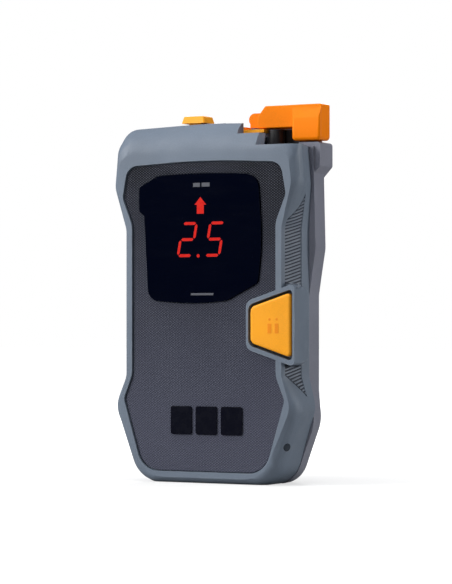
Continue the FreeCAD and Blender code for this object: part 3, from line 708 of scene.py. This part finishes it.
def flank_strips(name, side, tall, rows, z_low, flank, trim, stand, rise):
    """Upright strips laid on one flank: fitted to it, trimmed to a slope, then given a wall."""
    deselect_all()
    bpy.ops.mesh.primitive_grid_add(x_subdivisions=max(2, int(tall)), y_subdivisions=16, size=1.0,
                                    rotation=(0.0, math.radians(90.0 * side), 0.0))
    strip = bpy.context.object
    strip.name = name
    strip.scale = (tall * MM, RIB_LONG * MM, 1.0)
    settle(strip)
    strip.rotation_euler = (rise, 0.0, 0.0)
    strip.location = (side * 45.0 * MM, RIB_Y * MM, z_low * MM)
    settle(strip)
    strips = repeated(strip, rows, (0.0, 0.0, RIB_PITCH))
    corner, normal = trim
    edit_all(strips, lambda: bpy.ops.mesh.bisect(
        plane_co=[value * MM for value in corner], plane_no=normal, clear_outer=True, clear_inner=False))
    apply_modifier(strips, "SHRINKWRAP", target=flank, wrap_method="PROJECT", use_project_x=True,
                   use_project_y=False, use_project_z=False, use_negative_direction=True,
                   use_positive_direction=True)
    apply_modifier(strips, "SOLIDIFY", thickness=2.0 * stand * MM, offset=0.0)
    edit_all(strips, lambda: bpy.ops.mesh.normals_make_consistent(inside=False))
    return strips


def grip_ribs(name, side, z_low, z_high, flank, trim):
    """Slanted ribs in the recess on one flank, painted a little lighter than the case as painted light, over a
    thin dark sheet of painted shade.
    """
    tall = z_high - z_low
    # The sheet under the ribs is dark plastic standing in for painted shade between them.
    rib_shade_sheet = flank_strips(name + "_bed", side, tall, 1, (z_low + z_high) / 2.0, flank, trim, SHADE_SHEET_STAND, 0.0)
    soften(rib_shade_sheet, 0.0)
    dress(rib_shade_sheet, "rib_shade_sheet", "case")
    rows = int(tall / RIB_PITCH) + 1
    ribs = flank_strips(name, side, RIB_TALL, rows, z_low, flank, trim, RIB_STAND, RIB_RISE)
    soften(ribs, 0.13, 2, 40.0, 40.0)
    dress(ribs, "rib_painted_light", "case")


# ---- face ---------------------------------------------------------------------------
PANEL_LIP = 0.50            # width of the smooth lip round the knurled field
PANEL_SINK = 0.12           # the field lies this much below the lip


def lipped_panel():
    """The face panel with its knurled field let in behind a smooth lip."""
    piece = merged_copy("face_panel", "knurled_face_panel")
    work_on(piece)
    front = min(vertex.co.y for vertex in piece.data.vertices)
    for face in piece.data.polygons:
        face.select = abs(face.center.y - front) < 0.02 * MM and face.normal.y < -0.9
    bpy.ops.object.mode_set(mode="EDIT")
    bpy.ops.mesh.select_mode(type="FACE")
    bpy.ops.mesh.inset(thickness=PANEL_LIP * MM, use_boundary=True, use_even_offset=True)
    bpy.ops.transform.translate(value=(0.0, PANEL_SINK * MM, 0.0))
    bpy.ops.object.mode_set(mode="OBJECT")
    piece.data.materials.clear()
    piece.data.materials.append(FINISH["panel"])
    piece.data.materials.append(FINISH["lip_painted_highlight"])
    for face in piece.data.polygons:
        face.material_index = 0 if face.select else 1
    soften(piece, 0.14, 2, 25.0, 35.0)
    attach(piece, "case")
    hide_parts("face_panel")


MARK_STAND = 0.04
MARK_BACK = 0.3
LENS_MARKS = (              # label, X span and Z span
    ("left", (-3.6, -1.0), (96.0, 97.3)),
    ("right", (-0.4, 2.6), (96.0, 97.3)),
    ("lower", (-4.4, 4.0), (60.9, 61.6)),
)


def make_face():
    lipped_panel()
    lens = reworked("display_lens", "display_window", 0.15, 2)
    dress(lens, "lens", "case")
    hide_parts("display_lens")
    badge = reworked("face_badge", "badge_blocks", 0.12, 2)
    dress(badge, "badge", "case")
    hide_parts("face_badge")
    light = reworked("status_light", "status_window", 0.15, 2)
    dress(light, "window", "case")
    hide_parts("status_light")
    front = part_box("display_lens")[0][1] / MM
    for label, (left, right), (low, high) in LENS_MARKS:
        mark = rounded_block("lens_mark_" + label, (left, front - MARK_STAND, low),
                             (right, front + MARK_BACK, high), 0.03, 1)
        dress(mark, "mark", "case")


# ---- moving pieces ------------------------------------------------------------------
def make_lever():
    lever = reworked("mode_lever", "mode_lever_moulding", 0.30, 3, 32.0, 40.0)
    dress(lever, "orange", "lever")
    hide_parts("mode_lever")
    base = reworked("switch_base", "switch_base_moulding", 0.25, 2)
    dress(base, "black", "case")
    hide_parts("switch_base")
    knob = reworked("lock_slider", "lock_slider_moulding", 0.20, 2)
    dress(knob, "amber", "lock")
    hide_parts("lock_slider")


ICON_STAND = 0.09           # the cap is pressed in by this much, so the marks end in its old front plane


def make_button():
    button = reworked("option_button", "option_button_cap", 0.25, 3, 32.0, 40.0)
    low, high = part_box("option_button")
    front = low[1] / MM
    edit_all(button, lambda: bpy.ops.transform.resize(
        value=(1.0, 1.0 - ICON_STAND * MM / (high[1] - low[1]), 1.0), center_override=(0.0, high[1], 0.0)))
    dress(button, "amber", "button")
    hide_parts("option_button")
    for side, x in (("left", 25.1), ("right", 27.7)):
        bar = rounded_block("icon_bar_" + side, (x - 0.7, front, 48.6), (x + 0.7, front + 0.3, 51.8), 0.12, 2)
        deselect_all()
        bpy.ops.mesh.primitive_uv_sphere_add(segments=24, ring_count=12, radius=0.75 * MM,
                                             location=(x * MM, (front + 0.40) * MM, 53.1 * MM))
        dot = bpy.context.object
        dot.scale = (1.0, 0.53, 1.0)
        settle(dot)
        icon = join([bar, dot], "icon_mark_" + side)
        soften(icon, 0.0)
        dress(icon, "icon", "button")


def make_back():
    door = reworked("battery_door", "battery_door_moulding", 0.30, 3)
    dress(door, "back", "door")
    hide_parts("battery_door")
    label = reworked("back_label", "back_label_plate", 0.06, 2)
    dress(label, "plate", "case")
    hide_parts("back_label")
    for node, width, finish, slot, body in (("door_screw", 0.12, "steel", "steel", "door_screw"),
                                            ("case_screws", 0.12, "steel", "steel", "case")):
        screw = reworked(node, node + "_turned", width, 2)
        dress(screw, finish, body)
        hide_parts(node)


front_shell, back_shell = make_case()
for side, label in ((1, "right"), (-1, "left")):
    grip_ribs("grip_ribs_upper_" + label, side, 64.0, 93.0, front_shell, RIB_TRIMS[0])
    grip_ribs("grip_ribs_lower_" + label, side, 28.4, 39.0, front_shell, RIB_TRIMS[1])
make_face()
make_lever()
make_button()
make_back()
for part in frame["record"]["subparts"]:
    node = NODES[part["node"]]
    for holder in node.material_slots:
        holder.material = FINISH[SLOT_FINISH[part["material_slot"]]]
for node in ("digit_segments", "direction_arrow"):
    NODES[node].material_slots[0].material = FINISH["red"]

place_camera()
light_studio()
lay_floor()
